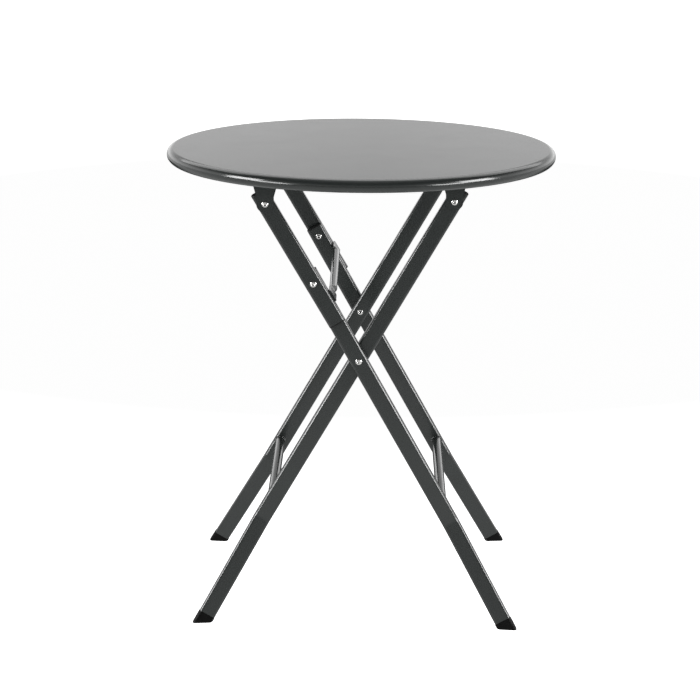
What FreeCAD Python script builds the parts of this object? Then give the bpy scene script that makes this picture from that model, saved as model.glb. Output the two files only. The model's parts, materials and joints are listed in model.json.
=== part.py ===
import FreeCAD, Part
import math
import os
import re

import Sketcher
from FreeCAD import Placement, Rotation, Vector

# Folding bistro table, millimetres.
# Origin: on the floor under the centre of the round top.  +Z is up, the legs cross in the XZ plane,
# and the hinge axes run along Y, with the front of the table towards -Y.
#
# The legs are two frames that cross like scissors.  The inner frame has one-piece legs.
# The outer frame has lower legs that carry short upper links on a knee hinge, and the links and the
# inner legs hold the top by sheet-metal ears.  Opened out, the hinges at the two ears and the crossing
# form an equilateral triangle, and the knee stands a little inside the triangle's side, where the
# stop bar on the links meets the lower legs.

DIMENSIONS = [
    # alias, value, meaning
    ("table_height", 711.5, "floor to the top surface"),
    ("top_radius", 302.0, "outer radius of the round top"),
    ("roll_radius", 10.0, "outer radius of the rolled rim, half its height"),
    ("roll_end_angle", 225.0, "how far the rim is rolled under, from straight up"),
    ("top_gauge", 1.2, "sheet thickness of the top"),
    ("pivot_height", 656.6, "floor to the hinges at the ears"),
    ("pivot_spacing", 282.0, "side of the hinge triangle"),
    ("leg_tilt", 30.0, "sides of the hinge triangle from the vertical, degrees"),
    ("knee_bend", 0.65, "link and lower leg each side of the line of their far hinges, degrees"),
    ("tube_width", 26.0, "leg tube, across the leg in the XZ plane"),
    ("tube_depth", 15.0, "leg tube, along Y"),
    ("tube_wall", 1.2, "leg tube wall"),
    ("tube_corner", 3.0, "leg tube outer corner radius"),
    ("inner_plane", 158.0, "Y of the inner legs' axes"),
    ("crossing_gap", 1.5, "between an inner leg and an outer leg at the crossing"),
    ("washer_gap", 1.0, "at the knees and at the ears"),
    ("washer_play", 0.1, "free play left beside a washer or under a rivet head"),
    ("washer_radius", 8.5, "outer radius of washers and spacers"),
    ("link_overhang", 20.0, "upper link past its ear hinge"),
    ("link_tail", 72.0, "upper link past the knee hinge"),
    ("knee_overhang", 17.0, "lower outer leg past the knee hinge"),
    ("inner_overhang", 20.0, "inner leg past its ear hinge"),
    ("splay_height", 156.0, "height where the legs bend outwards"),
    ("splay_angle", 13.3, "outward bend, degrees"),
    ("splay_radius", 60.0, "bend radius on the tube's axis"),
    ("bar_radius", 8.0, "crossbar outer radius"),
    ("bar_wall", 1.2, "crossbar wall"),
    ("bar_reach", 257.5, "crossing hinge to crossbar, along the leg"),
    ("bar_lift", 3.0, "crossbar above the leg's axis"),
    ("stop_radius", 6.0, "stop bar tube outer radius"),
    ("stop_wall", 1.8, "stop bar tube wall"),
    ("stop_width", 19.0, "flattened end of the stop bar, along the leg"),
    ("stop_thickness", 3.6, "flattened end, twice the wall"),
    ("stop_corner", 1.7, "edge radius of the flattened end"),
    ("stop_reach", 32.0, "knee hinge to stop bar, along the link"),
    ("stop_half_length", 188.0, "middle plane to the stop bar's end"),
    ("stop_round_end", 147.0, "middle plane to where the round tube ends"),
    ("stop_flat_start", 138.0, "middle plane to where the flattened end starts, inside the tube"),
    ("stop_seat", 0.4, "flattened end deeper between the links, to meet the lower legs"),
    ("rail_width", 50.0, "rail under the top, along X"),
    ("rail_gauge", 2.0, "rail sheet thickness"),
    ("rail_flange", 12.0, "rail flange height"),
    ("ear_radius", 13.0, "ear's round end about its hinge"),
    ("ear_neck", 10.6, "height over the hinge where the ear starts to widen"),
    ("rivet_radius", 3.0, "rivet shank"),
    ("head_radius", 5.0, "rivet domed head"),
    ("head_height", 2.2, "rivet domed head"),
    ("head_edge", 0.6, "straight edge of the domed head"),
    ("tail_radius", 4.6, "rivet rolled end"),
    ("tail_height", 1.3, "rivet rolled end"),
    ("tail_bore", 2.0, "hole in the rolled end"),
    ("tail_depth", 5.0, "depth of the hole in the rolled end"),
    ("bore_clearance", 0.05, "hinge holes round the rivets"),
    ("plug_cap", 1.6, "tube end plug outside the tube"),
    ("plug_depth", 10.0, "tube end plug inside the tube"),
    ("plug_clearance", 0.1, "plug inside the tube wall"),
    ("plug_chamfer", 0.7, "edge of the plug's cap"),
    ("foot_gap", 14.0, "tube end to the floor, along the leg"),
    ("foot_proud", 0.5, "foot stands proud of the tube all round"),
    ("foot_depth", 18.0, "foot inside the tube"),
    ("foot_stock", 40.0, "foot before it is cut level with the floor"),
]

DOC = FreeCAD.newDocument("BistroTable")
SHEET = DOC.addObject("Spreadsheet::Sheet", "Dims")
for row, (alias, value, meaning) in enumerate(DIMENSIONS, start=1):
    SHEET.set(f"A{row}", meaning)
    SHEET.set(f"B{row}", str(value))
    SHEET.setAlias(f"B{row}", alias)
DOC.recompute()
DIM = {alias: float(SHEET.get(alias)) for alias, _, _ in DIMENSIONS}

SUB_PARTS = []
FRONT, REAR = -1, 1
SIDES = ((FRONT, "front"), (REAR, "rear"))

# Hinge positions in the XZ plane and the Y planes of the layers, as text for expressions.
CROSSING_Z = "(pivot_height - pivot_spacing * cos(leg_tilt))"
KNEE_INWARD = "(pivot_spacing / 2 * tan(knee_bend))"
KNEE_X = f"({KNEE_INWARD} * cos(leg_tilt) - pivot_spacing * sin(leg_tilt) / 2)"
KNEE_Z = f"({CROSSING_Z} + pivot_spacing * cos(leg_tilt) / 2 + {KNEE_INWARD} * sin(leg_tilt))"
KNEE_REACH = "(pivot_spacing / 2 / cos(knee_bend))"
INNER_TILT = "leg_tilt"
OUTER_TILT = "(knee_bend - leg_tilt)"
LINK_TILT = "(-leg_tilt - knee_bend)"
OUTER_PLANE = "(inner_plane + tube_depth + crossing_gap)"
LINK_PLANE = "(inner_plane + 2 * tube_depth + crossing_gap + washer_gap)"


def text_of(formula):
    """The formula with every alias written as a cell of the sheet."""
    return re.sub(r"[a-z]+_[a-z_]+", lambda found: "Dims." + found.group(0), formula)


def value_of(formula):
    """The formula's number, for the first positions of sketch points."""
    return float(SHEET.evalExpression(text_of(formula)))


def bind(item, settings):
    """Tie properties or named constraints of an object to formulas."""
    for name, formula in settings.items():
        item.setExpression(name, text_of(formula))


def plane_of(body, role):
    """One of the body's own origin planes."""
    return next(item for item in body.Origin.OriginFeatures if item.Role == role)


def new_body(label, x="0", y="0", z="0", turn=None):
    """A body with its place tied to the sheet; turn is a Rotation."""
    body = DOC.addObject("PartDesign::Body", label)
    body.Label = label
    body.Placement = Placement(Vector(value_of(x), value_of(y), value_of(z)), turn or Rotation())
    bind(body, {"Placement.Base.x": x, "Placement.Base.y": y, "Placement.Base.z": z})
    return body


def tilted(tilt):
    """The turn that leans a leg's axis from the vertical, towards +X where the formula is positive."""
    return Rotation(Vector(0, 1, 0), value_of(tilt))


def new_sketch(body, name, role, offset="0", shift="0"):
    """A sketch on an origin plane of the body, moved along the plane's normal by the formula offset
    and along the sketch's own x by the formula shift."""
    sketch = body.newObject("Sketcher::SketchObject", name)
    sketch.AttachmentSupport = [(plane_of(body, role), "")]
    sketch.MapMode = "FlatFace"
    sketch.AttachmentOffset = Placement(Vector(value_of(shift), 0, value_of(offset)), Rotation())
    bind(sketch, {"AttachmentOffset.Base.x": shift, "AttachmentOffset.Base.z": offset})
    return sketch


def constrain(sketch, name, formula, *arguments):
    """A named constraint of the sketch whose number follows a formula."""
    number = value_of(formula)
    kind = arguments[0]
    if kind == "Angle":
        number = math.radians(number)
    sketch.addConstraint(Sketcher.Constraint(*arguments, number))
    sketch.renameConstraint(sketch.ConstraintCount - 1, name)
    bind(sketch, {f"Constraints.{name}": formula})


def rounded_rectangle(sketch, tag, width, depth, corner):
    """A centred rectangle with round corners, width along the sketch's x and depth along its y."""
    half_w = value_of(width) / 2
    half_d = value_of(depth) / 2
    radius = value_of(corner)
    quarter = math.pi / 2
    first = sketch.GeometryCount
    centres = [(half_w - radius, half_d - radius), (radius - half_w, half_d - radius),
               (radius - half_w, radius - half_d), (half_w - radius, radius - half_d)]
    lines = [((half_w - radius, half_d), (radius - half_w, half_d)),
             ((-half_w, half_d - radius), (-half_w, radius - half_d)),
             ((radius - half_w, -half_d), (half_w - radius, -half_d)),
             ((half_w, radius - half_d), (half_w, half_d - radius))]
    for index, (x, y) in enumerate(centres):
        circle = Part.Circle(Vector(x, y, 0), Vector(0, 0, 1), radius)
        sketch.addGeometry(Part.ArcOfCircle(circle, index * quarter, (index + 1) * quarter))
    for (x1, y1), (x2, y2) in lines:
        sketch.addGeometry(Part.LineSegment(Vector(x1, y1, 0), Vector(x2, y2, 0)))
    arcs = [first + index for index in range(4)]
    edges = [first + 4 + index for index in range(4)]
    for index in range(4):
        sketch.addConstraint(Sketcher.Constraint("Tangent", arcs[index], 2, edges[index], 1))
        sketch.addConstraint(Sketcher.Constraint("Tangent", edges[index], 2, arcs[(index + 1) % 4], 1))
    sketch.addConstraint(Sketcher.Constraint("Horizontal", edges[0]))
    sketch.addConstraint(Sketcher.Constraint("Vertical", edges[1]))
    for index in range(1, 4):
        sketch.addConstraint(Sketcher.Constraint("Equal", arcs[0], arcs[index]))
    sketch.addConstraint(Sketcher.Constraint("Symmetric", arcs[0], 3, arcs[2], 3, -1, 1))
    constrain(sketch, tag + "Width", width, "DistanceX", edges[1], 1, edges[3], 1)
    constrain(sketch, tag + "Depth", depth, "DistanceY", edges[2], 1, edges[0], 1)
    constrain(sketch, tag + "Corner", corner, "Radius", arcs[0])


def round_hole(sketch, tag, radius, x="0", y="0"):
    """A circle at x, y of the sketch."""
    place = Vector(value_of(x), value_of(y), 0)
    circle = sketch.addGeometry(Part.Circle(place, Vector(0, 0, 1), value_of(radius)))
    constrain(sketch, tag + "Radius", radius, "Radius", circle)
    if x == "0":
        sketch.addConstraint(Sketcher.Constraint("PointOnObject", circle, 3, -2))
    else:
        constrain(sketch, tag + "Across", x, "DistanceX", -1, 1, circle, 3)
    if y == "0":
        sketch.addConstraint(Sketcher.Constraint("PointOnObject", circle, 3, -1))
    else:
        constrain(sketch, tag + "Up", y, "DistanceY", -1, 1, circle, 3)


def upright_rectangle(sketch, tag, width, top, bottom):
    """A rectangle that is symmetric about the sketch's vertical axis."""
    half = value_of(width) / 2
    high = value_of(top)
    low = value_of(bottom)
    corners = [Vector(-half, low, 0), Vector(half, low, 0), Vector(half, high, 0), Vector(-half, high, 0)]
    ends = zip(corners, corners[1:] + corners[:1])
    lines = [sketch.addGeometry(Part.LineSegment(start, end)) for start, end in ends]
    for index in range(4):
        following = lines[(index + 1) % 4]
        sketch.addConstraint(Sketcher.Constraint("Coincident", lines[index], 2, following, 1))
    sketch.addConstraint(Sketcher.Constraint("Vertical", lines[1]))
    sketch.addConstraint(Sketcher.Constraint("Symmetric", lines[0], 1, lines[0], 2, -2))
    sketch.addConstraint(Sketcher.Constraint("Symmetric", lines[2], 1, lines[2], 2, -2))
    constrain(sketch, tag + "Width", width, "DistanceX", lines[0], 1, lines[0], 2)
    constrain(sketch, tag + "Top", top, "DistanceY", -1, 1, lines[2], 1)
    constrain(sketch, tag + "Bottom", bottom, "DistanceY", -1, 1, lines[0], 1)


def pad(body, sketch, length, both_ways=False, reverse=False):
    feature = body.newObject("PartDesign::Pad", sketch.Name + "Pad")
    feature.Profile = sketch
    feature.Midplane = both_ways
    feature.Reversed = reverse
    bind(feature, {"Length": length})
    return feature


def pocket_through(body, sketch, length):
    """A pocket both ways from the sketch's plane."""
    feature = body.newObject("PartDesign::Pocket", sketch.Name + "Pocket")
    feature.Profile = sketch
    feature.Midplane = True
    bind(feature, {"Length": length})
    return feature


def keep(item):
    """Put a finished sub-part on the list of files."""
    SUB_PARTS.append(item)
    return item


TUBE_INSIDE_WIDTH = "(tube_width - 2 * tube_wall)"
TUBE_INSIDE_DEPTH = "(tube_depth - 2 * tube_wall)"
TUBE_INSIDE_CORNER = "(tube_corner - tube_wall)"
BORE = "(rivet_radius + bore_clearance)"


def cross_bores(body, heights):
    """Hinge holes along Y through both walls of a tube, at heights up the leg."""
    sketch = new_sketch(body, body.Name + "Bores", "XZ_Plane")
    for index, height in enumerate(heights):
        round_hole(sketch, f"Bore{index}", BORE, y=height)
    pocket_through(body, sketch, "2 * tube_depth")


def straight_tube(label, x, y, z, tilt, top, bottom, bores):
    """A length of leg tube, its axis along the body's Z from bottom to top."""
    body = new_body(label, x, y, z, tilted(tilt))
    sketch = new_sketch(body, label + "Section", "XY_Plane", bottom)
    rounded_rectangle(sketch, "Outer", "tube_width", "tube_depth", "tube_corner")
    rounded_rectangle(sketch, "Inner", TUBE_INSIDE_WIDTH, TUBE_INSIDE_DEPTH, TUBE_INSIDE_CORNER)
    pad(body, sketch, f"{top} - {bottom}")
    cross_bores(body, bores)
    return keep(body)


def bend_reach(tilt):
    """The bend, along a leg from the crossing hinge."""
    return f"(-({CROSSING_Z} - splay_height) / cos({tilt}))"


def foot_reach(tilt):
    """The tube's foot end, along a leg's straight part from the crossing hinge."""
    return f"(foot_gap * cos(splay_angle) - {CROSSING_Z} / cos({tilt}))"


def foot_out(tilt):
    """The tube's foot end, outwards in Y from the leg's straight part."""
    return f"(({bend_reach(tilt)} - {foot_reach(tilt)}) * tan(splay_angle))"


def leg_spine(body, tilt, top, side):
    """The axis of a leg: down from the top, a bend outwards in Y, and straight on to the foot."""
    sketch = new_sketch(body, body.Name + "Spine", "YZ_Plane")
    radius = value_of("splay_radius")
    angle = math.radians(value_of("splay_angle"))
    start = Vector(0, value_of(top), 0)
    bend_start = f"({bend_reach(tilt)} + splay_radius * tan(splay_angle / 2))"
    bend = Vector(0, value_of(bend_start), 0)
    centre = bend + Vector(side * radius, 0, 0)
    past = centre + Vector(-side * radius * math.cos(angle), -radius * math.sin(angle), 0)
    end = Vector(side * value_of(foot_out(tilt)), value_of(foot_reach(tilt)), 0)
    middle = centre + Vector(-side * radius * math.cos(angle / 2), -radius * math.sin(angle / 2), 0)
    line = sketch.addGeometry(Part.LineSegment(start, bend))
    arc = sketch.addGeometry(Part.Arc(bend, middle, past))
    foot = sketch.addGeometry(Part.LineSegment(past, end))
    # An arc runs anticlockwise, so its first end depends on the side that it bends to.
    first, last = (1, 2) if side == REAR else (2, 1)
    sketch.addConstraint(Sketcher.Constraint("PointOnObject", line, 1, -2))
    sketch.addConstraint(Sketcher.Constraint("Vertical", line))
    sketch.addConstraint(Sketcher.Constraint("Tangent", line, 2, arc, first))
    sketch.addConstraint(Sketcher.Constraint("Tangent", arc, last, foot, 1))
    constrain(sketch, "Top", top, "DistanceY", -1, 1, line, 1)
    constrain(sketch, "Bend", f"-{bend_start}", "DistanceY", line, 2, -1, 1)
    constrain(sketch, "Radius", "splay_radius", "Radius", arc)
    constrain(sketch, "Foot", f"-{foot_reach(tilt)}", "DistanceY", foot, 2, -1, 1)
    if side == REAR:
        constrain(sketch, "Out", foot_out(tilt), "DistanceX", -1, 1, foot, 2)
    else:
        constrain(sketch, "Out", foot_out(tilt), "DistanceX", foot, 2, -1, 1)
    return sketch


def bent_leg(label, plane, tilt, top, side, bores):
    """A leg tube that is splayed outwards near its foot; the body's origin is the crossing hinge."""
    y = plane if side == REAR else f"-{plane}"
    body = new_body(label, "0", y, CROSSING_Z, tilted(tilt))
    spine = leg_spine(body, tilt, top, side)
    outer = new_sketch(body, label + "Outer", "XY_Plane", top)
    rounded_rectangle(outer, "Outer", "tube_width", "tube_depth", "tube_corner")
    inner = new_sketch(body, label + "Inner", "XY_Plane", top)
    rounded_rectangle(inner, "Inner", TUBE_INSIDE_WIDTH, TUBE_INSIDE_DEPTH, TUBE_INSIDE_CORNER)
    DOC.recompute()
    for kind, section in (("AdditivePipe", outer), ("SubtractivePipe", inner)):
        sweep = body.newObject("PartDesign::" + kind, label + kind)
        sweep.Profile = section
        sweep.Spine = (spine, ["Edge1", "Edge2", "Edge3"])
        DOC.recompute()
    cross_bores(body, bores)
    return keep(body)


def crossbar(label, tilt, lift, plane):
    """A round tube along Y between the inner faces of a pair of legs; lift is along the leg's own X."""
    x = f"{lift} * cos({tilt}) - bar_reach * sin({tilt})"
    z = f"{CROSSING_Z} - {lift} * sin({tilt}) - bar_reach * cos({tilt})"
    body = new_body(label, x, "0", z)
    sketch = new_sketch(body, label + "Section", "XZ_Plane")
    round_hole(sketch, "Outer", "bar_radius")
    round_hole(sketch, "Inner", "bar_radius - bar_wall")
    pad(body, sketch, f"2 * {plane} - tube_depth", both_ways=True)
    return keep(body)


def stop_bar(label):
    """A round tube whose flattened ends lie on the edges of the link tails and meet the lower legs."""
    out = "((tube_width + stop_thickness) / 2)"
    lean = "(leg_tilt + knee_bend)"
    x = f"{KNEE_X} + {out} * cos({lean}) + stop_reach * sin({lean})"
    z = f"{KNEE_Z} + {out} * sin({lean}) - stop_reach * cos({lean})"
    body = new_body(label, x, "0", z, tilted(LINK_TILT))
    tube = new_sketch(body, label + "Tube", "XZ_Plane")
    round_hole(tube, "Outer", "stop_radius")
    round_hole(tube, "Inner", "stop_radius - stop_wall")
    pad(body, tube, "2 * stop_round_end", both_ways=True)
    over_legs = f"({LINK_PLANE} - tube_depth / 2 - washer_play)"
    for side, name in SIDES:
        for tag, shift, end in (("Seat", "-stop_seat", over_legs), ("Tip", "0", "stop_half_length")):
            DOC.recompute()
            # An XZ plane's normal points to -Y.
            start = "stop_flat_start" if side == FRONT else "-stop_flat_start"
            flat = new_sketch(body, label + name + tag, "XZ_Plane", start, shift)
            rounded_rectangle(flat, tag, "stop_thickness", "stop_width", "stop_corner")
            pad(body, flat, f"{end} - stop_flat_start", reverse=side == REAR)
    return keep(body)


def round_top(label):
    """The pressed sheet top: flat, with its edge rolled down and under."""
    body = new_body(label)
    sketch = new_sketch(body, label + "Profile", "XZ_Plane")
    roll = value_of("roll_radius")
    gauge = value_of("top_gauge")
    height = value_of("table_height")
    stop = math.radians(value_of("roll_end_angle"))
    roll_centre = Vector(value_of("top_radius - roll_radius"), height - roll, 0)
    flat = roll_centre.x

    def arc(radius):
        """An arc from straight up to the roll's end, clockwise."""
        circle = Part.Circle(roll_centre, Vector(0, 0, 1), radius)
        return sketch.addGeometry(Part.ArcOfCircle(circle, math.pi / 2 - stop, math.pi / 2))

    def end_of(radius):
        return roll_centre + Vector(radius * math.sin(stop), radius * math.cos(stop), 0)

    def line(start, end):
        return sketch.addGeometry(Part.LineSegment(start, end))

    top = line(Vector(0, height, 0), Vector(flat, height, 0))
    roll_out = arc(roll)
    hem = line(end_of(roll), end_of(roll - gauge))
    roll_in = arc(roll - gauge)
    under = line(Vector(flat, height - gauge, 0), Vector(0, height - gauge, 0))
    middle = line(Vector(0, height - gauge, 0), Vector(0, height, 0))
    # Arcs run anticlockwise: end 1 is the rolled-under end of each, end 2 the one at the flat.
    joints = [("Tangent", top, 2, roll_out, 2), ("Coincident", roll_out, 1, hem, 1),
              ("Coincident", hem, 2, roll_in, 1), ("Tangent", roll_in, 2, under, 1),
              ("Coincident", under, 2, middle, 1), ("Coincident", middle, 2, top, 1),
              ("Coincident", roll_out, 3, roll_in, 3), ("PointOnObject", top, 1, -2),
              ("PointOnObject", middle, 1, -2), ("Horizontal", top)]
    for joint in joints:
        sketch.addConstraint(Sketcher.Constraint(*joint))
    constrain(sketch, "Height", "table_height", "DistanceY", -1, 1, top, 1)
    constrain(sketch, "Roll", "roll_radius", "Radius", roll_out)
    constrain(sketch, "Inside", "roll_radius - top_gauge", "Radius", roll_in)
    constrain(sketch, "RollX", "top_radius - roll_radius", "DistanceX", -1, 1, roll_out, 3)
    spun(body, sketch)
    return keep(body)


RAIL_TOP = "(table_height - top_gauge - pivot_height)"


def ear_outline(sketch):
    """A round end about the hinge, straight sides up to the neck, and a taper up to the rail."""
    radius = value_of("ear_radius")
    neck = value_of("ear_neck")
    half = value_of("rail_width") / 2
    height = value_of(RAIL_TOP)
    corners = [Vector(radius, 0, 0), Vector(radius, neck, 0), Vector(half, height, 0),
               Vector(-half, height, 0), Vector(-radius, neck, 0), Vector(-radius, 0, 0)]
    circle = Part.Circle(Vector(0, 0, 0), Vector(0, 0, 1), radius)
    end = sketch.addGeometry(Part.ArcOfCircle(circle, math.pi, 2 * math.pi))
    sides = [sketch.addGeometry(Part.LineSegment(a, b)) for a, b in zip(corners, corners[1:])]
    sketch.addConstraint(Sketcher.Constraint("Tangent", end, 2, sides[0], 1))
    for low, high in zip(sides, sides[1:]):
        sketch.addConstraint(Sketcher.Constraint("Coincident", low, 2, high, 1))
    sketch.addConstraint(Sketcher.Constraint("Tangent", sides[-1], 2, end, 1))
    sketch.addConstraint(Sketcher.Constraint("Coincident", end, 3, -1, 1))
    sketch.addConstraint(Sketcher.Constraint("Vertical", sides[0]))
    sketch.addConstraint(Sketcher.Constraint("Symmetric", sides[2], 1, sides[2], 2, -2))
    sketch.addConstraint(Sketcher.Constraint("Symmetric", sides[0], 2, sides[4], 1, -2))
    constrain(sketch, "End", "ear_radius", "Radius", end)
    constrain(sketch, "Neck", "ear_neck", "DistanceY", -1, 1, sides[0], 2)
    constrain(sketch, "Height", RAIL_TOP, "DistanceY", -1, 1, sides[1], 2)
    constrain(sketch, "Width", "rail_width", "DistanceX", sides[2], 2, sides[2], 1)


def rail(label, x, ear_face):
    """A channel along Y under the top whose ends are bent down into ears; ear_face is the outside."""
    body = new_body(label, x, "0", "pivot_height")
    # The channel is a solid bar along Y that is hollowed from below.
    block = new_sketch(body, label + "Block", "XZ_Plane")
    upright_rectangle(block, "Block", "rail_width", RAIL_TOP, f"{RAIL_TOP} - rail_flange - rail_gauge")
    pad(body, block, f"2 * {ear_face}", both_ways=True)
    DOC.recompute()
    hollow = new_sketch(body, label + "Hollow", "XZ_Plane")
    upright_rectangle(hollow, "Hollow", "rail_width - 2 * rail_gauge", f"{RAIL_TOP} - rail_gauge",
                      f"{RAIL_TOP} - 3 * rail_flange")
    pocket_through(body, hollow, f"2 * {ear_face} - 2 * rail_gauge")
    DOC.recompute()
    for side, name in SIDES:
        # An XZ plane's normal points to -Y.
        offset = f"{ear_face} - rail_gauge" if side == FRONT else f"-{ear_face}"
        ear = new_sketch(body, label + "Ear" + name, "XZ_Plane", offset)
        ear_outline(ear)
        round_hole(ear, "Bore", BORE)
        pad(body, ear, "rail_gauge")
        DOC.recompute()
    return keep(body)


def outline(sketch, points, arc_at=None):
    """A closed outline through points given as pairs of formulas.

    The side that starts at index arc_at is an arc whose centre lies on the sketch's vertical axis."""
    spots = [Vector(value_of(x), value_of(y), 0) for x, y in points]
    count = len(spots)
    for index, start in enumerate(spots):
        end = spots[(index + 1) % count]
        if index == arc_at:
            middle = (start.y * start.y - end.x * end.x - end.y * end.y) / (2 * (start.y - end.y))
            centre = Vector(0, middle, 0)
            radius = start.y - middle
            first = math.atan2(end.y - middle, end.x)
            circle = Part.Circle(centre, Vector(0, 0, 1), radius)
            sketch.addGeometry(Part.ArcOfCircle(circle, first, math.pi / 2))
        else:
            sketch.addGeometry(Part.LineSegment(start, end))
    for index, (x, y) in enumerate(points):
        # The arc runs from its outer end back to the axis, so its ends are the other way round.
        mine = 2 if index == arc_at else 1
        before = (index - 1) % count
        theirs = 1 if before == arc_at else 2
        sketch.addConstraint(Sketcher.Constraint("Coincident", before, theirs, index, mine))
        if x == "0":
            sketch.addConstraint(Sketcher.Constraint("PointOnObject", index, mine, -2))
        else:
            constrain(sketch, f"Across{index}", x, "DistanceX", -1, 1, index, mine)
        if y == "0":
            sketch.addConstraint(Sketcher.Constraint("PointOnObject", index, mine, -1))
        else:
            constrain(sketch, f"Up{index}", y, "DistanceY", -1, 1, index, mine)
    if arc_at is not None:
        sketch.addConstraint(Sketcher.Constraint("PointOnObject", arc_at, 3, -2))


def spun(body, sketch):
    """The sketch turned once round its vertical axis."""
    spin = body.newObject("PartDesign::Revolution", sketch.Name + "Spin")
    spin.Profile = sketch
    spin.ReferenceAxis = (sketch, ["V_Axis"])
    spin.Angle = 360
    return spin


def facing(side):
    """Turns a piece made for the rear, which points to +Y, to its side of the table."""
    return Rotation() if side == REAR else Rotation(Vector(0, 0, 1), 180)


def rivet(label, x, z, side, outside, inside, head=True, tail=True):
    """A hinge rivet along Y, from the outside of the joint to its inside, as distances from the
    table's middle plane; it has a domed head, a rolled end, or both."""
    y = outside if side == REAR else f"-({outside})"
    body = new_body(label, x, y, z, facing(side))
    sketch = new_sketch(body, label + "Profile", "XY_Plane")
    end = f"-({outside} - ({inside}))"
    points = [("0", "0"), ("rivet_radius", "0")]
    arc_at = None
    if head:
        points = [("0", "head_height"), ("head_radius", "head_edge"), ("head_radius", "0")] + points[1:]
        arc_at = 0
    points.append(("rivet_radius", end))
    if tail:
        rolled = f"{end} - tail_height"
        bore_end = f"{end} - tail_height + tail_depth"
        points += [("tail_radius", end), ("tail_radius", rolled), ("tail_bore", rolled),
                   ("tail_bore", bore_end), ("0", bore_end)]
    else:
        points.append(("0", end))
    outline(sketch, points, arc_at)
    spun(body, sketch)
    return keep(body)


def washer(label, x, z, side, inside, gap):
    """A flat ring on a hinge; inside is the face that it lies on and gap the space that it fills."""
    y = inside if side == REAR else f"-({inside})"
    body = new_body(label, x, y, z, facing(side))
    sketch = new_sketch(body, label + "Ring", "XZ_Plane")
    round_hole(sketch, "Rim", "washer_radius")
    round_hole(sketch, "Bore", BORE)
    pad(body, sketch, f"{gap} - washer_play", reverse=True)
    return keep(body)


def cap_chamfer(body, feature, height):
    """Bevels the edges of a cap's flat face at a height up the body."""
    DOC.recompute()
    names = []
    for index, edge in enumerate(feature.Shape.Edges, start=1):
        box = edge.BoundBox
        if abs(box.ZMin - height) < 0.001 and abs(box.ZMax - height) < 0.001:
            names.append(f"Edge{index}")
    bevel = body.newObject("PartDesign::Chamfer", body.Name + "Bevel")
    bevel.Base = (feature, names)
    bind(bevel, {"Size": "plug_chamfer"})


def insert_section(body, name, height):
    """The part of a plug that fits inside the tube."""
    sketch = new_sketch(body, name, "XY_Plane", height)
    rounded_rectangle(sketch, "Insert", f"{TUBE_INSIDE_WIDTH} - 2 * plug_clearance",
                      f"{TUBE_INSIDE_DEPTH} - 2 * plug_clearance", TUBE_INSIDE_CORNER)
    return sketch


def end_plug(label, x, y, z, tilt, reach, upward):
    """A plastic plug in a tube's end; reach is the tube's end up the leg from x, y, z."""
    body = new_body(label, x, y, z, tilted(tilt))
    pad(body, insert_section(body, label + "Insert", reach), "plug_depth", reverse=upward)
    cap = new_sketch(body, label + "Cap", "XY_Plane", reach)
    rounded_rectangle(cap, "Cap", "tube_width", "tube_depth", "tube_corner")
    feature = pad(body, cap, "plug_cap", reverse=not upward)
    outer_face = value_of(f"{reach} + plug_cap" if upward else f"{reach} - plug_cap")
    cap_chamfer(body, feature, outer_face)
    return keep(body)


def foot(label, plane, tilt, side):
    """A plastic foot on a leg's end, cut level with the floor."""
    leg = Placement(Vector(0, side * value_of(plane), value_of(CROSSING_Z)), tilted(tilt))
    end = Vector(0, side * value_of(foot_out(tilt)), value_of(foot_reach(tilt)))
    bent = Placement(end, Rotation(Vector(1, 0, 0), side * value_of("splay_angle")))
    body = new_body(label + "_stock")
    # The stock leans two ways, so its place is set as a whole and not by formulas.
    for axis in "xyz":
        body.setExpression(f"Placement.Base.{axis}", None)
    body.Placement = leg.multiply(bent)
    stock = new_sketch(body, label + "Stock", "XY_Plane")
    rounded_rectangle(stock, "Stock", "tube_width + 2 * foot_proud", "tube_depth + 2 * foot_proud",
                      "tube_corner + foot_proud")
    pad(body, stock, "foot_stock", reverse=True)
    pad(body, insert_section(body, label + "Insert", "0"), "foot_depth")
    below = DOC.addObject("Part::Box", label + "_floor")
    bind(below, {"Length": "4 * foot_stock", "Width": "4 * foot_stock", "Height": "2 * foot_stock"})
    centre = body.Placement.Base
    half = 2 * value_of("foot_stock")
    below.Placement = Placement(Vector(centre.x - half, centre.y - half, -half), Rotation())
    cut = DOC.addObject("Part::Cut", label)
    cut.Label = label
    cut.Base = body
    cut.Tool = below
    return keep(cut)


EAR_X = "(pivot_spacing / 2)"
LEFT_EAR_X = "(-pivot_spacing / 2)"
INNER_TOP = "(pivot_spacing + inner_overhang - plug_cap)"
KNEE_TOP = f"({KNEE_REACH} + knee_overhang - plug_cap)"
LINK_TOP = "(link_overhang - plug_cap)"
LINK_END = f"(plug_cap - {KNEE_REACH} - link_tail)"
LINK_OUTSIDE = f"({LINK_PLANE} + tube_depth / 2)"
LINK_INSIDE = f"({LINK_PLANE} - tube_depth / 2)"
OUTER_OUTSIDE = f"({OUTER_PLANE} + tube_depth / 2)"
OUTER_INSIDE = f"({OUTER_PLANE} - tube_depth / 2)"
INNER_OUTSIDE = "(inner_plane + tube_depth / 2)"
INNER_INSIDE = "(inner_plane - tube_depth / 2)"
LEFT_EAR_FACE = f"({LINK_OUTSIDE} + washer_gap + rail_gauge)"
RIGHT_EAR_FACE = f"({INNER_OUTSIDE} + washer_gap + rail_gauge)"

round_top("tabletop")
rail("outer_rail", LEFT_EAR_X, LEFT_EAR_FACE)
rail("inner_rail", EAR_X, RIGHT_EAR_FACE)
stop_bar("stop_bar")
crossbar("outer_crossbar", OUTER_TILT, "bar_lift", OUTER_PLANE)
crossbar("inner_crossbar", INNER_TILT, "-bar_lift", "inner_plane")

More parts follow.
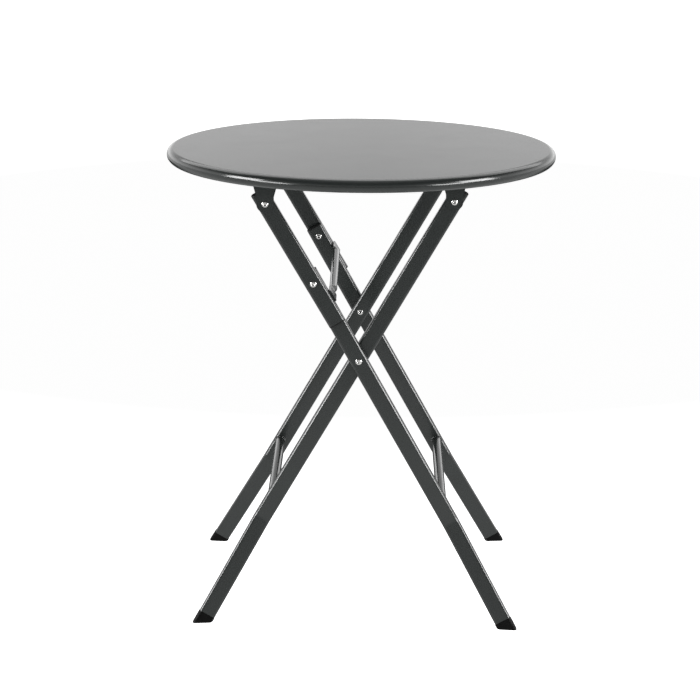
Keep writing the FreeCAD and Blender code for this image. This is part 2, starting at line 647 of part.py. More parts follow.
for SIDE, NAME in SIDES:
    SIGN = "-" if SIDE == FRONT else ""
    bent_leg(NAME + "_inner_leg", "inner_plane", INNER_TILT, INNER_TOP, SIDE, ["0", "pivot_spacing"])
    bent_leg(NAME + "_outer_leg", OUTER_PLANE, OUTER_TILT, KNEE_TOP, SIDE, ["0", KNEE_REACH])
    straight_tube(NAME + "_upper_link", LEFT_EAR_X, SIGN + LINK_PLANE, "pivot_height", LINK_TILT,
                  LINK_TOP, LINK_END, ["0", "-" + KNEE_REACH])
    foot(NAME + "_inner_foot", "inner_plane", INNER_TILT, SIDE)
    foot(NAME + "_outer_foot", OUTER_PLANE, OUTER_TILT, SIDE)
    end_plug(NAME + "_inner_leg_plug", "0", SIGN + "inner_plane", CROSSING_Z, INNER_TILT, INNER_TOP, True)
    end_plug(NAME + "_outer_leg_plug", "0", SIGN + OUTER_PLANE, CROSSING_Z, OUTER_TILT, KNEE_TOP, True)
    for PLUG, REACH, UPWARD in (("_link_top_plug", LINK_TOP, True), ("_link_tail_plug", LINK_END, False)):
        end_plug(NAME + PLUG, LEFT_EAR_X, SIGN + LINK_PLANE, "pivot_height", LINK_TILT, REACH, UPWARD)
    rivet(NAME + "_link_ear_rivet", LEFT_EAR_X, "pivot_height", SIDE,
          LEFT_EAR_FACE, f"{LINK_INSIDE} - washer_play")
    rivet(NAME + "_knee_rivet", KNEE_X, KNEE_Z, SIDE, f"{LINK_OUTSIDE} + washer_play", OUTER_INSIDE)
    rivet(NAME + "_crossing_rivet", "0", CROSSING_Z, SIDE, f"{OUTER_OUTSIDE} + washer_play", INNER_INSIDE)
    rivet(NAME + "_leg_ear_rivet_head", EAR_X, "pivot_height", SIDE,
          RIGHT_EAR_FACE, f"{RIGHT_EAR_FACE} - rail_gauge", tail=False)
    rivet(NAME + "_leg_ear_rivet_shank", EAR_X, "pivot_height", SIDE,
          f"{INNER_OUTSIDE} + washer_gap - washer_play", INNER_INSIDE, head=False)
    washer(NAME + "_link_ear_washer", LEFT_EAR_X, "pivot_height", SIDE,
           f"{LINK_OUTSIDE} + washer_play", "washer_gap")
    washer(NAME + "_knee_washer", KNEE_X, KNEE_Z, SIDE, OUTER_OUTSIDE, "washer_gap")
    washer(NAME + "_crossing_washer", "0", CROSSING_Z, SIDE, INNER_OUTSIDE, "crossing_gap")
    washer(NAME + "_leg_ear_washer", EAR_X, "pivot_height", SIDE, INNER_OUTSIDE, "washer_gap")

DOC.recompute()
for ITEM in DOC.Objects:
    if "Invalid" in ITEM.State or "Error" in ITEM.State:
        raise RuntimeError(f"{ITEM.Label} did not recompute: {ITEM.State}")
for ITEM in SUB_PARTS:
    if ITEM.Shape.isNull() or not ITEM.Shape.isValid() or len(ITEM.Shape.Solids) != 1:
        raise RuntimeError(f"{ITEM.Label} has no valid single solid")

os.makedirs("parts", exist_ok=True)
for ITEM in SUB_PARTS:
    ITEM.Shape.exportStep(f"parts/{ITEM.Label}.step")
    BOX = ITEM.Shape.optimalBoundingBox(False, False)
    print(f"{ITEM.Label}: {ITEM.Shape.Volume:.0f} mm3, "
          f"x {BOX.XMin:.1f} to {BOX.XMax:.1f}, y {BOX.YMin:.1f} to {BOX.YMax:.1f}, "
          f"z {BOX.ZMin:.1f} to {BOX.ZMax:.1f}")
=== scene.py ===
"""A folding bistro table: the looks of every piece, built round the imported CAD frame. Metres."""

import json
import math
import random

import bmesh
import bpy
from mathutils import Matrix, Vector


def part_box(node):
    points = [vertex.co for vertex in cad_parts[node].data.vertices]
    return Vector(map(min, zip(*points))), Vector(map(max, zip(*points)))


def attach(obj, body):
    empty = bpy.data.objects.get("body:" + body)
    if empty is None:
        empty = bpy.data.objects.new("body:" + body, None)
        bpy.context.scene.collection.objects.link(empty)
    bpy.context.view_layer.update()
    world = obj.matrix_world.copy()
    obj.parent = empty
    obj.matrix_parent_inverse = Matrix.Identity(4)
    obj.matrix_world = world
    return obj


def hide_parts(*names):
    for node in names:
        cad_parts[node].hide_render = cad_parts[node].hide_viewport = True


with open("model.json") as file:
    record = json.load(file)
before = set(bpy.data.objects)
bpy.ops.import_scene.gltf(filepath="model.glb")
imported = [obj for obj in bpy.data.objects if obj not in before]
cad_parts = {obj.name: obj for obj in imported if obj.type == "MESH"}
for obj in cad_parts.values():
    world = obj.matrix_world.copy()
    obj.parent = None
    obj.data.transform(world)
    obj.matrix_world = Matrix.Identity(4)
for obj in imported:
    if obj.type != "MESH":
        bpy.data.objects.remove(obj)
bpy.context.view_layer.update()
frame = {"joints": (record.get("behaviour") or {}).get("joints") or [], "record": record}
random.seed(7)

MM = 0.001
FRONT, REAR = -1, 1
SIDES = ((FRONT, "front"), (REAR, "rear"))

# The tube of the legs and links. The CAD's corners are 3 mm; the light lines in the photo show rounder ones.
TUBE_WIDTH = 26 * MM
TUBE_DEPTH = 15 * MM
TUBE_CORNER = 4.2 * MM
TUBE_WALL = 1.2 * MM
TUBE_EDGE = 0.25 * MM
CORNER_STEPS = 6

# The hinges in the XZ plane.
HINGES = {j["name"]: Vector(j["pos_m"]) for j in frame["joints"]}
CROSSING = HINGES["frame_fold"]
KNEE = HINGES["knee_fold"]
LEFT_EAR = HINGES["top_fold"]
RIGHT_EAR = Vector((-LEFT_EAR.x, 0, LEFT_EAR.z))

# The outward bend near the floor.
SPLAY_HEIGHT = 156 * MM
SPLAY_ANGLE = math.radians(13.3)
SPLAY_RADIUS = 60 * MM

# The feet and plugs: how far a foot's tube ends over the floor, how much wider than the tube the foot is, and
# how deep each goes in.
FOOT_GAP = 14 * MM
FOOT_PROUD = 0.5 * MM
FOOT_DEPTH = 18 * MM
PLUG_CAP = 1.6 * MM
PLUG_DEPTH = 10 * MM

# How far the tubes, with their plugs, run past the hinges.
INNER_OVERHANG = 20 * MM
KNEE_OVERHANG = 17 * MM
LINK_OVERHANG = 20 * MM
LINK_TAIL = 72 * MM


# ---------------------------------------------------------------- materials

def node_tree(name):
    """A new material; returns it, its node tree, its shader and the object coordinates."""
    material = bpy.data.materials.new(name)
    material.use_nodes = True
    nodes = material.node_tree.nodes
    shader = nodes["Principled BSDF"]
    coordinates = nodes.new("ShaderNodeTexCoord").outputs["Object"]
    return material, material.node_tree, shader, coordinates


def noise(tree, coordinates, scale, detail=2.0, roughness=0.5, distortion=0.0):
    node = tree.nodes.new("ShaderNodeTexNoise")
    node.inputs["Scale"].default_value = scale
    node.inputs["Detail"].default_value = detail
    node.inputs["Roughness"].default_value = roughness
    node.inputs["Distortion"].default_value = distortion
    tree.links.new(coordinates, node.inputs["Vector"])
    return node.outputs["Fac"]


def ramp(tree, value, stops):
    """A value through a colour ramp whose stops are (position, colour)."""
    node = tree.nodes.new("ShaderNodeValToRGB")
    elements = node.color_ramp.elements
    while len(elements) < len(stops):
        elements.new(0.5)
    for element, (position, colour) in zip(elements, stops):
        element.position = position
        element.color = (*colour, 1)
    tree.links.new(value, node.inputs["Fac"])
    return node.outputs["Color"]


def spread(tree, value, low, high, start=0.3, end=0.7):
    """A value from start to end, spread from low to high and held there outside."""
    node = tree.nodes.new("ShaderNodeMapRange")
    node.inputs["From Min"].default_value = start
    node.inputs["From Max"].default_value = end
    node.inputs["To Min"].default_value = low
    node.inputs["To Max"].default_value = high
    tree.links.new(value, node.inputs["Value"])
    return node.outputs["Result"]


def bump(tree, height, distance, strength, below=None):
    """A bump by a height, in metres at full strength, over another bump's normals where one is given."""
    node = tree.nodes.new("ShaderNodeBump")
    node.inputs["Strength"].default_value = strength
    node.inputs["Distance"].default_value = distance
    tree.links.new(height, node.inputs["Height"])
    if below is not None:
        tree.links.new(below, node.inputs["Normal"])
    return node.outputs["Normal"]


def grey(value):
    return (value, value, value)


def powder_coat():
    """Satin anthracite powder coat: orange peel, a finer grain, and a film that varies a little."""
    material, tree, shader, at = node_tree("powder_coat")
    link = tree.links.new
    film = noise(tree, at, 26, 3, 0.6)
    grain = noise(tree, at, 950, 2, 0.6)
    colour = ramp(tree, film, [(0.25, (0.036, 0.0415, 0.040)),
                               (0.75, (0.042, 0.048, 0.0465))])
    specks = ramp(tree, grain, [(0.35, grey(0.86)), (0.68, grey(1.14))])
    mix = tree.nodes.new("ShaderNodeMix")
    mix.data_type = "RGBA"
    mix.blend_type = "MULTIPLY"
    mix.inputs["Factor"].default_value = 1.0
    link(colour, mix.inputs["A"])
    link(specks, mix.inputs["B"])
    link(mix.outputs["Result"], shader.inputs["Base Color"])
    link(spread(tree, noise(tree, at, 14, 4, 0.65), 0.15, 0.18), shader.inputs["Roughness"])
    peel = bump(tree, noise(tree, at, 420, 2, 0.5), 0.00004, 0.4)
    link(bump(tree, grain, 0.00002, 0.3, peel), shader.inputs["Normal"])
    shader.inputs["IOR"].default_value = 1.5
    return material


def plastic(name, low, high):
    """Dark moulded polyethylene with a fine eroded grain."""
    material, tree, shader, at = node_tree(name)
    link = tree.links.new
    shade = noise(tree, at, 60, 3, 0.6)
    grain = noise(tree, at, 1400, 2, 0.6)
    link(ramp(tree, shade, [(0.3, grey(low)), (0.7, grey(high))]), shader.inputs["Base Color"])
    link(spread(tree, noise(tree, at, 220, 3), 0.38, 0.55), shader.inputs["Roughness"])
    swirl = bump(tree, noise(tree, at, 120, 2, 0.5, 1.5), 0.00012, 0.25)
    link(bump(tree, grain, 0.00004, 0.6, swirl), shader.inputs["Normal"])
    shader.inputs["IOR"].default_value = 1.46
    shader.inputs["Specular IOR Level"].default_value = 0.10
    return material


def bright_steel():
    """Zinc-plated steel with the faint ripple of a pressed head."""
    material, tree, shader, at = node_tree("bright_steel")
    link = tree.links.new
    stain = noise(tree, at, 500, 4, 0.65)
    link(ramp(tree, stain, [(0.3, (0.60, 0.60, 0.58)), (0.7, (0.80, 0.80, 0.79))]),
         shader.inputs["Base Color"])
    shader.inputs["Metallic"].default_value = 1.0
    link(spread(tree, noise(tree, at, 900, 3), 0.12, 0.22), shader.inputs["Roughness"])
    link(bump(tree, noise(tree, at, 700, 3, 0.6), 0.00006, 0.4), shader.inputs["Normal"])
    return material


def nylon():
    """Nylon washers in dark grey, with a tone that varies at random."""
    material, tree, shader, at = node_tree("nylon")
    link = tree.links.new
    shade = noise(tree, at, 180, 3, 0.6)
    link(ramp(tree, shade, [(0.3, (0.035, 0.035, 0.034)), (0.7, (0.055, 0.055, 0.052))]),
         shader.inputs["Base Color"])
    link(spread(tree, noise(tree, at, 400, 3), 0.42, 0.6), shader.inputs["Roughness"])
    link(bump(tree, noise(tree, at, 900, 2), 0.00004, 0.5), shader.inputs["Normal"])
    return material


MATERIALS = {"powder_coat": powder_coat(),
             "black_plastic": plastic("black_plastic", 0.0035, 0.006),
             "bright_steel": bright_steel(),
             "nylon": nylon()}
# The plugs use a paler copy of the feet's plastic: painted light, standing in for the light that catches the
# plugs' edges.
PAINTED_LIGHT_PLUG_PLASTIC = plastic("plug_plastic_painted_light", 0.018, 0.026)


# ---------------------------------------------------------------- mesh tools

class Shell:
    """Points and faces of a piece as it is made."""

    def __init__(self):
        self.points = []
        self.faces = []

    def ring(self, points):
        """Adds a row of points and returns their numbers."""
        first = len(self.points)
        self.points.extend(points)
        return list(range(first, len(self.points)))

    def bridge(self, low, high):
        """Quads between two rings that have as many points."""
        count = len(low)
        for i in range(count):
            j = (i + 1) % count
            self.faces.append((low[i], low[j], high[j], high[i]))

    def cap(self, ring):
        self.faces.append(tuple(ring))

    def skin(self, rings, closed=False):
        """Joins the rings in turn, then closes the loop or caps both ends."""
        for low, high in zip(rings, rings[1:]):
            self.bridge(low, high)
        if closed:
            self.bridge(rings[-1], rings[0])
        else:
            self.cap(rings[0])
            self.cap(rings[-1])


def piece(name, shell, body, slot, nodes=(), sharp=50, outward=True):
    """A finished piece from its points and faces, riding on its body and standing for its CAD nodes.

    Edges sharper than sharp degrees stay sharp; outward turns every face to the outside."""
    mesh = bpy.data.meshes.new(name)
    mesh.from_pydata(shell.points, [], shell.faces)
    if outward:
        work = bmesh.new()
        work.from_mesh(mesh)
        bmesh.ops.recalc_face_normals(work, faces=work.faces)
        work.to_mesh(mesh)
        work.free()
    mesh.shade_smooth()
    if sharp:
        mesh.set_sharp_from_angle(angle=math.radians(sharp))
    item = bpy.data.objects.new(name, mesh)
    bpy.context.scene.collection.objects.link(item)
    mesh.materials.append(MATERIALS[slot])
    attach(item, body)
    if nodes:
        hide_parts(*nodes)
    return item


def weigh_normals(item):
    """Flat faces stay flat and only the round edges between them shade round."""
    modifier = item.modifiers.new("Normals", "WEIGHTED_NORMAL")
    modifier.keep_sharp = True


def rounded_section(width, depth, corner):
    """A rectangle with round corners as (across, deep) points, anticlockwise."""
    points = []
    x, y = width / 2 - corner, depth / 2 - corner
    for turn, (centre_x, centre_y) in enumerate(((x, y), (-x, y), (-x, -y), (x, -y))):
        for step in range(CORNER_STEPS + 1):
            angle = math.radians(90 * (turn + step / CORNER_STEPS))
            points.append((centre_x + corner * math.cos(angle), centre_y + corner * math.sin(angle)))
    return points


def tube_section(inset=0.0):
    """The leg tube's outline, made smaller all round by inset."""
    corner = max(TUBE_CORNER - inset, 0.4 * MM)
    return rounded_section(TUBE_WIDTH - 2 * inset, TUBE_DEPTH - 2 * inset, corner)


def placed(section, centre, across, deep):
    """An outline's points in space."""
    return [centre + across * a + deep * d for a, d in section]


def lathe(shell, profile, centre, axis, segments, closed=False):
    """Turns (radius, distance along axis) points about an axis. A radius of 0 becomes a very small cap."""
    side = axis.orthogonal().normalized()
    other = axis.cross(side)
    rings = []
    for radius, along in profile:
        radius = max(radius, 0.02 * MM)
        rings.append(shell.ring([
            centre + axis * along
            + (side * math.cos(math.tau * k / segments) + other * math.sin(math.tau * k / segments)) * radius
            for k in range(segments)]))
    shell.skin(rings, closed)


def turned(radius_at, height_at, radius, start, end, steps):
    """(radius, height) points of an arc about (radius_at, height_at); angles are from straight up."""
    result = []
    for step in range(steps + 1):
        angle = start + (end - start) * step / steps
        result.append((radius_at + radius * math.sin(angle), height_at + radius * math.cos(angle)))
    return result


# ---------------------------------------------------------------- legs and links

class Limb:
    """A leg or link: up runs along it from its origin, across is its own X, out is away from the middle."""

    def __init__(self, origin, target, layer, side):
        self.origin = Vector((origin.x, side * layer, origin.z))
        self.up = (Vector((target.x, 0, target.z)) - Vector((origin.x, 0, origin.z))).normalized()
        self.across = Vector((self.up.z, 0, -self.up.x))
        self.out = Vector((0, side, 0))

    def straight(self, reach):
        """(centre, across, deep, down) at a distance up the limb."""
        return self.origin + self.up * reach, self.across, self.out, -self.up

    def splayed(self, angle, centre_reach):
        """The same on the bend, at an angle round from its start, which is centre_reach up the limb."""
        centre = (self.origin + self.up * (centre_reach - SPLAY_RADIUS * math.sin(angle))
                  + self.out * SPLAY_RADIUS * (1 - math.cos(angle)))
        deep = self.out * math.cos(angle) + self.up * math.sin(angle)
        down = self.out * math.sin(angle) - self.up * math.cos(angle)
        return centre, self.across, deep, down

    def foot_end(self):
        """The same where the tube ends over its foot."""
        tilt = self.up.z
        bend = (SPLAY_HEIGHT - self.origin.z) / tilt
        reach = FOOT_GAP * math.cos(SPLAY_ANGLE) - self.origin.z / tilt
        outward = (bend - reach) * math.tan(SPLAY_ANGLE)
        _, across, deep, down = self.splayed(SPLAY_ANGLE, 0)
        return self.origin + self.up * reach + self.out * outward, across, deep, down


def layer_of(node):
    """Distance from the middle plane to the axis of a leg or link's straight part."""
    low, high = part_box(node)
    return min(abs(low.y), abs(high.y)) + TUBE_DEPTH / 2


def tube(name, stations, body, node):
    """A rectangular tube through stations, each (centre, across, deep, down), with its inside."""
    shell = Shell()
    inside = tube_section(TUBE_WALL)
    outside = tube_section()
    edge = tube_section(TUBE_EDGE)
    rings = []
    first, last = stations[0], stations[-1]
    rings.append(shell.ring(placed(edge, *first[:3])))
    rings.append(shell.ring(placed(outside, first[0] + first[3] * TUBE_EDGE, *first[1:3])))
    for centre, across, deep, _ in stations[1:-1]:
        rings.append(shell.ring(placed(outside, centre, across, deep)))
    rings.append(shell.ring(placed(outside, last[0] - last[3] * TUBE_EDGE, *last[1:3])))
    rings.append(shell.ring(placed(edge, *last[:3])))
    for centre, across, deep, _ in reversed(stations):
        rings.append(shell.ring(placed(inside, centre, across, deep)))
    shell.skin(rings, closed=True)
    item = piece(name, shell, body, "powder_coat", [node])
    weigh_normals(item)


def leg_stations(limb, top):
    """Down from the top, round the bend and on to the foot."""
    tilt = limb.up.z
    bend = (SPLAY_HEIGHT - limb.origin.z) / tilt
    start = bend + SPLAY_RADIUS * math.tan(SPLAY_ANGLE / 2)
    runs = 12
    arc_steps = 8
    stations = [limb.straight(top)]
    for step in range(1, runs):
        stations.append(limb.straight(top + (start - top) * step / runs))
    for step in range(arc_steps + 1):
        stations.append(limb.splayed(SPLAY_ANGLE * step / arc_steps, start))
    stations.append(limb.foot_end())
    return stations


# (inset from the tube's outline, distance past its end) in mm: the stem with its fins, then the cap.
PLUG_STEM = ((1.30, -PLUG_DEPTH / MM), (1.30, -PLUG_DEPTH / MM + 1.2), (2.1, -PLUG_DEPTH / MM + 1.3),
             (2.1, -6.4), (1.32, -6.2), (1.32, -5.2), (2.1, -5.0), (2.1, -2.4), (1.32, -2.2), (1.32, -0.02))
PLUG_TOP = ((0.28, 0.02), (0.0, 0.28), (0.0, 0.85), (0.12, 1.12), (0.42, 1.42),
            (0.95, 1.58), (2.2, 1.60), (2.65, 1.45), (2.85, 1.10), (3.6, 1.02))


def plug(name, limb, reach, upward, body, node):
    """A plastic plug in a tube's end: a low cap with a sunk middle, and a finned stem in the tube."""
    shell = Shell()
    way = limb.up if upward else -limb.up
    centre = limb.origin + limb.up * reach
    rings = []
    for inset, along in PLUG_STEM + PLUG_TOP:
        section = tube_section(inset * MM)
        rings.append(shell.ring(placed(section, centre + way * along * MM, limb.across, limb.out)))
    shell.skin(rings)
    item = piece(name, shell, body, "black_plastic", [node], sharp=60)
    # The plug takes the paler copy of the plastic, painted lighter to stand in for light on its edges.
    item.data.materials[0] = PAINTED_LIGHT_PLUG_PLASTIC
    weigh_normals(item)


# (inset, distance past the tube's end) in mm: the foot's stem, then the lip over the tube's end.
FOOT_STEM = ((1.9, -FOOT_DEPTH / MM), (1.35, -FOOT_DEPTH / MM + 1.0), (1.35, -0.05))
FOOT_LIP = ((0.55, 0.0), (0.18, 0.08), (0.0, 0.35))
# (inset, height over the floor) in mm: round under to the sole, then a shallow hollow that leaves a tread.
FOOT_SOLE = ((0.0, 2.0), (0.12, 1.3), (0.42, 0.65), (0.95, 0.2), (1.7, 0.0))
FOOT_HOLLOW = ((3.4, 0.0), (3.9, 0.5), (4.6, 0.6))


def foot(name, limb, body, node):
    """A plastic foot: it covers the tube's end and is cut level with the floor, with a round edge."""
    centre, across, deep, down = limb.foot_end()
    shell = Shell()
    width, depth = TUBE_WIDTH + 2 * FOOT_PROUD, TUBE_DEPTH + 2 * FOOT_PROUD
    corner = TUBE_CORNER + FOOT_PROUD
    least_corner = 0.8 * MM
    rings = []
    for inset, along in FOOT_STEM:
        section = tube_section(inset * MM)
        rings.append(shell.ring(placed(section, centre + down * along * MM, across, deep)))

    def outline_of(inset):
        return rounded_section(width - 2 * inset, depth - 2 * inset, max(corner - inset, least_corner))

    for inset, along in FOOT_LIP:
        rings.append(shell.ring(placed(outline_of(inset * MM), centre + down * along * MM, across, deep)))
    # Down each edge towards the floor.
    for share in (0.35, 0.65):
        ring = []
        for point in placed(outline_of(0), centre, across, deep):
            fall = point.z / -down.z
            ring.append(point + down * fall * share)
        rings.append(shell.ring(ring))
    for inset, height in FOOT_SOLE + FOOT_HOLLOW:
        ring = []
        for point in placed(outline_of(inset * MM), centre, across, deep):
            fall = (point.z - height * MM) / -down.z
            ring.append(point + down * fall)
        rings.append(shell.ring(ring))
    shell.skin(rings)
    item = piece(name, shell, body, "black_plastic", [node])
    weigh_normals(item)


INNER_LAYER = layer_of("front_inner_leg")
OUTER_LAYER = layer_of("front_outer_leg")
LINK_LAYER = layer_of("front_upper_link")
EAR_REACH = (RIGHT_EAR - CROSSING).length
KNEE_REACH = (KNEE - CROSSING).length
LINK_REACH = (LEFT_EAR - KNEE).length

# A tube ends under its plug's cap, which is what runs past the hinge.
for side, name in SIDES:
    inner = Limb(CROSSING, RIGHT_EAR, INNER_LAYER, side)
    outer = Limb(CROSSING, KNEE, OUTER_LAYER, side)
    link = Limb(LEFT_EAR, LEFT_EAR * 2 - KNEE, LINK_LAYER, side)
    inner_top = EAR_REACH + INNER_OVERHANG - PLUG_CAP
    knee_top = KNEE_REACH + KNEE_OVERHANG - PLUG_CAP
    link_top = LINK_OVERHANG - PLUG_CAP
    link_end = PLUG_CAP - LINK_REACH - LINK_TAIL
    tube(name + "_inner_leg_tube", leg_stations(inner, inner_top), "inner_frame", name + "_inner_leg")
    tube(name + "_outer_leg_tube", leg_stations(outer, knee_top), "outer_frame", name + "_outer_leg")
    runs = 6
    link_stations = [link.straight(link_top + (link_end - link_top) * k / runs) for k in range(runs + 1)]
    tube(name + "_upper_link_tube", link_stations, "upper_links", name + "_upper_link")
    plug(name + "_inner_leg_end_plug", inner, inner_top, True, "inner_frame", name + "_inner_leg_plug")
    plug(name + "_outer_leg_end_plug", outer, knee_top, True, "outer_frame", name + "_outer_leg_plug")
    plug(name + "_link_top_end_plug", link, link_top, True, "upper_links", name + "_link_top_plug")
    plug(name + "_link_tail_end_plug", link, link_end, False, "upper_links", name + "_link_tail_plug")
    foot(name + "_inner_leg_foot", inner, "inner_frame", name + "_inner_foot")
    foot(name + "_outer_leg_foot", outer, "outer_frame", name + "_outer_foot")


# ---------------------------------------------------------------- bars

def bar_axis(node):
    """The middle of a bar along Y, and its half length."""
    low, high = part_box(node)
    return Vector(((low.x + high.x) / 2, 0, (low.z + high.z) / 2)), high.y


def crossbar(node, body):
    """A welded round tube between two legs, with a rippled weld bead round each end."""
    centre, reach = bar_axis(node)
    low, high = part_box(node)
    radius = (high.x - low.x) / 2
    wall = 1.2 * MM
    stations = 16
    along = Vector((0, 1, 0))
    shell = Shell()
    profile = [(radius, -reach + 2 * reach * k / stations) for k in range(stations + 1)]
    profile += [(radius - wall, reach), (radius - wall, -reach)]
    lathe(shell, profile, centre, along, segments=56, closed=True)
    item = piece(node + "_tube", shell, body, "powder_coat", [node])
    weigh_normals(item)

    beads = Shell()
    segments = 132
    ripples = 22
    bead_steps = 5
    sunk = radius - 0.6 * MM
    for end in (-1, 1):
        phase = random.random() * math.tau
        rings = []
        for k in range(segments):
            turn = math.tau * k / segments
            ripple = 0.5 + 0.5 * math.cos(ripples * turn + phase + 0.5 * math.sin(3 * turn))
            size = (1.35 + 0.35 * ripple + 0.12 * math.sin(2 * turn + phase)) * MM
            radial = Vector((math.cos(turn), 0, math.sin(turn)))
            points = [radial * sunk + along * end * reach]
            for step in range(bead_steps + 1):
                angle = math.pi / 2 * step / bead_steps
                bulge = 1 - 0.22 * math.sin(2 * angle)
                points.append(radial * (radius + size * math.cos(angle) * bulge)
                              + along * end * (reach - size * math.sin(angle) * bulge))
            points.append(radial * sunk + along * end * (reach - size))
            rings.append(beads.ring([centre + p for p in points]))
        beads.skin(rings, closed=True)
    piece(node + "_weld_beads", beads, body, "powder_coat", sharp=70)


crossbar("outer_crossbar", "outer_frame")
crossbar("inner_crossbar", "inner_frame")


def walk(points, share):
    """The point at a share of the way round a closed outline."""
    lengths = [math.dist(a, b) for a, b in zip(points, points[1:] + points[:1])]
    left = share % 1 * sum(lengths)
    for index, length in enumerate(lengths):
        if left <= length:
            a, b = points[index], points[(index + 1) % len(points)]
            part = left / length if length else 0
            return (a[0] + (b[0] - a[0]) * part, a[1] + (b[1] - a[1]) * part)
        left -= length
    return points[0]


def from_side(points):
    """The same outline, started at its point farthest along the first axis."""
    first = points.index(max(points, key=lambda p: (p[0], -abs(p[1]))))
    return points[first:] + points[:first]


def stop_bar(node, body):
    """A tube with both ends pressed flat over the edges of the link tails."""
    radius = 6 * MM
    flat_width, flat_thickness, flat_corner = 19 * MM, 3.6 * MM, 1.7 * MM
    below_knee = 32 * MM
    seat = 0.4 * MM
    press_start, press_end = 136 * MM, 150 * MM
    press_steps = 12
    ease, end_ease = 0.5 * MM, 0.35 * MM
    up = (LEFT_EAR - KNEE).normalized()
    across = Vector((up.z, 0, -up.x))
    centre = KNEE + across * (TUBE_WIDTH + flat_thickness) / 2 - up * below_knee
    _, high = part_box(node)
    length = high.y
    link_face = LINK_LAYER - TUBE_DEPTH / 2
    count = 64
    flat = from_side(rounded_section(flat_thickness, flat_width, flat_corner))
    flat_points = [walk(flat, k / count) for k in range(count)]
    # The round outline is turned a little, so that its points lie nearer to the flat one's.
    turn_back = math.atan2(flat_points[0][1], flat_points[0][0]) * 0.2
    round_points = [(radius * math.cos(math.tau * k / count + turn_back),
                     radius * math.sin(math.tau * k / count + turn_back)) for k in range(count)]

    def section(press, shrink=0.0):
        """The outline from round (press 0) to flat (press 1), drawn in by shrink."""
        points = []
        for (rx, ry), (fx, fy) in zip(round_points, flat_points):
            x, y = rx + (fx - rx) * press, ry + (fy - ry) * press
            pull = max(math.hypot(x, y), 1e-9)
            points.append((x * (1 - shrink / pull), y * (1 - shrink / pull)))
        return points

    # Stations out from the middle: (y, press, how far the middle of the bar is set in).
    half = [(press_start * k / 8, 0.0, 0.0) for k in range(9)]
    for k in range(1, press_steps + 1):
        share = k / press_steps
        smooth = share * share * (3 - 2 * share)
        half.append((press_start + (press_end - press_start) * share, smooth, smooth * seat))
    half += [(link_face - 2 * MM, 1.0, seat), (link_face + ease, 1.0, 0.0), (length - ease, 1.0, 0.0)]
    shell = Shell()
    rings = []

    def add(y, press, shift, shrink=0.0):
        at = centre + Vector((0, y, 0)) - across * shift
        rings.append(shell.ring(placed(section(press, shrink), at, across, up)))

    def slit(y, thickness, width):
        """The dark line between the pressed walls, sunk into the end."""
        points = from_side(rounded_section(thickness, width, thickness * 0.45))
        at = centre + Vector((0, y, 0))
        rings.append(shell.ring(placed([walk(points, k / count) for k in range(count)], at, across, up)))

    slit_width = flat_width - 3.4 * MM
    slit_depth, slit_bottom, slit_mouth = 2.5 * MM, 0.5 * MM, 0.7 * MM
    slit(-length + slit_depth, slit_bottom, slit_width)
    slit(-length, slit_mouth, slit_width)
    add(-length, 1.0, 0.0, end_ease)
    for y, press, shift in reversed(half):
        add(-y, press, shift)
    for y, press, shift in half[1:]:
        add(y, press, shift)
    add(length, 1.0, 0.0, end_ease)
    slit(length, slit_mouth, slit_width)
    slit(length - slit_depth, slit_bottom, slit_width)
    shell.skin(rings)
    item = piece("stop_bar_tube", shell, body, "powder_coat", [node])
    weigh_normals(item)


stop_bar("stop_bar", "upper_links")


# ---------------------------------------------------------------- top and rails

def top_sheet(node, body):
    """The sheet top: flat, with its edge rolled down and under to a hem."""
    low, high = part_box(node)
    height = high.z
    roll = (high.z - low.z) / 2
    flat = high.x - roll
    gauge = 1.2 * MM
    hem = math.radians(225)
    plain = [flat * share for share in (0.0, 0.3, 0.6, 0.85, 0.97)]
    outside = [(reach, height) for reach in plain]
    outside += turned(flat, height - roll, roll, 0, hem, 54)
    inside = turned(flat, height - roll, roll - gauge, hem, 0, 40)
    inside += [(reach, height - gauge) for reach in reversed(plain)]
    shell = Shell()
    lathe(shell, outside + inside, Vector((0, 0, 0)), Vector((0, 0, 1)), segments=288)
    item = piece("top_sheet", shell, body, "powder_coat", [node])
    weigh_normals(item)


top_sheet("tabletop", "top_assembly")


# (radius, height) in mm of a spot weld: a shallow pressed ring.
SPOT_WELD = [(0, 0.12), (1.6, 0.12), (2.2, 0.2), (2.7, 0.42), (3.1, 0.46), (3.5, 0.28), (3.8, -0.2),
             (0, -0.2)]


